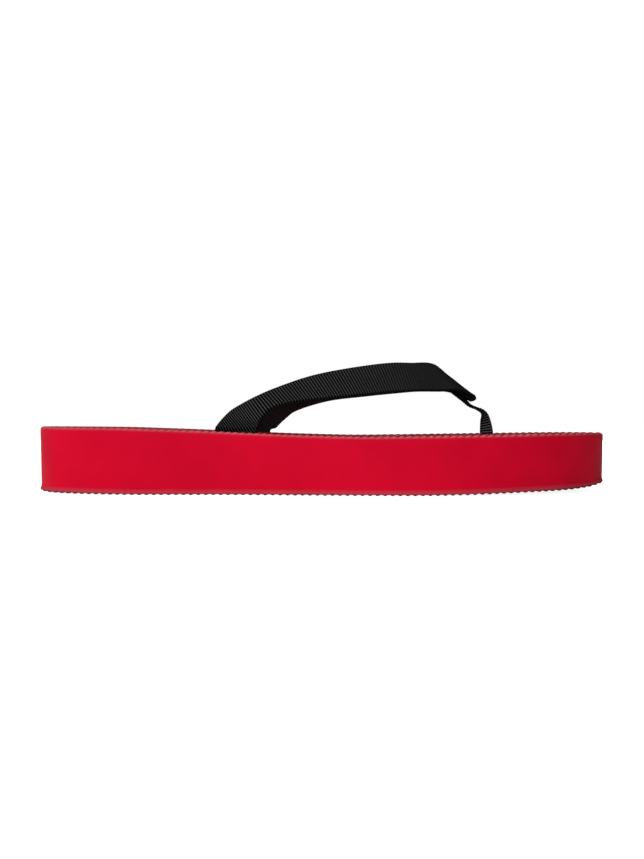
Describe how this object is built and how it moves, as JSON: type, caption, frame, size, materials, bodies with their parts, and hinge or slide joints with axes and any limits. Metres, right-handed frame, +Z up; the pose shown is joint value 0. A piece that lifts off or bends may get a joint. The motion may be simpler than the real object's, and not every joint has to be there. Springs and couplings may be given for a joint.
{
  "type": "flatform toe post sandal",
  "caption": "Right-foot flatform sandal: a thick red foam sole with a thin treaded outsole and textured footbed, and a folded black webbing strap with a toe post.",
  "frame": {"origin": "on the ground under the middle of the sole's outline", "axes": "+X towards the toe, +Y towards the inner side of the foot, +Z up"},
  "size_m": [0.2552, 0.0902, 0.0591],
  "materials": {
    "outsole_rubber": "matte, fine cross ribs",
    "midsole_foam": "satin closed-cell foam",
    "footbed_foam": "matte, low cross ribs",
    "strap_webbing": "cross-ribbed woven ribbon",
    "post_tape": "cross-ribbed woven tape"
  },
  "bodies": {
    "root": {"outsole": "outsole_rubber", "midsole": "midsole_foam", "footbed": "footbed_foam", "upper_strap": "strap_webbing", "toe_post": "post_tape"}
  },
  "joints": []
}
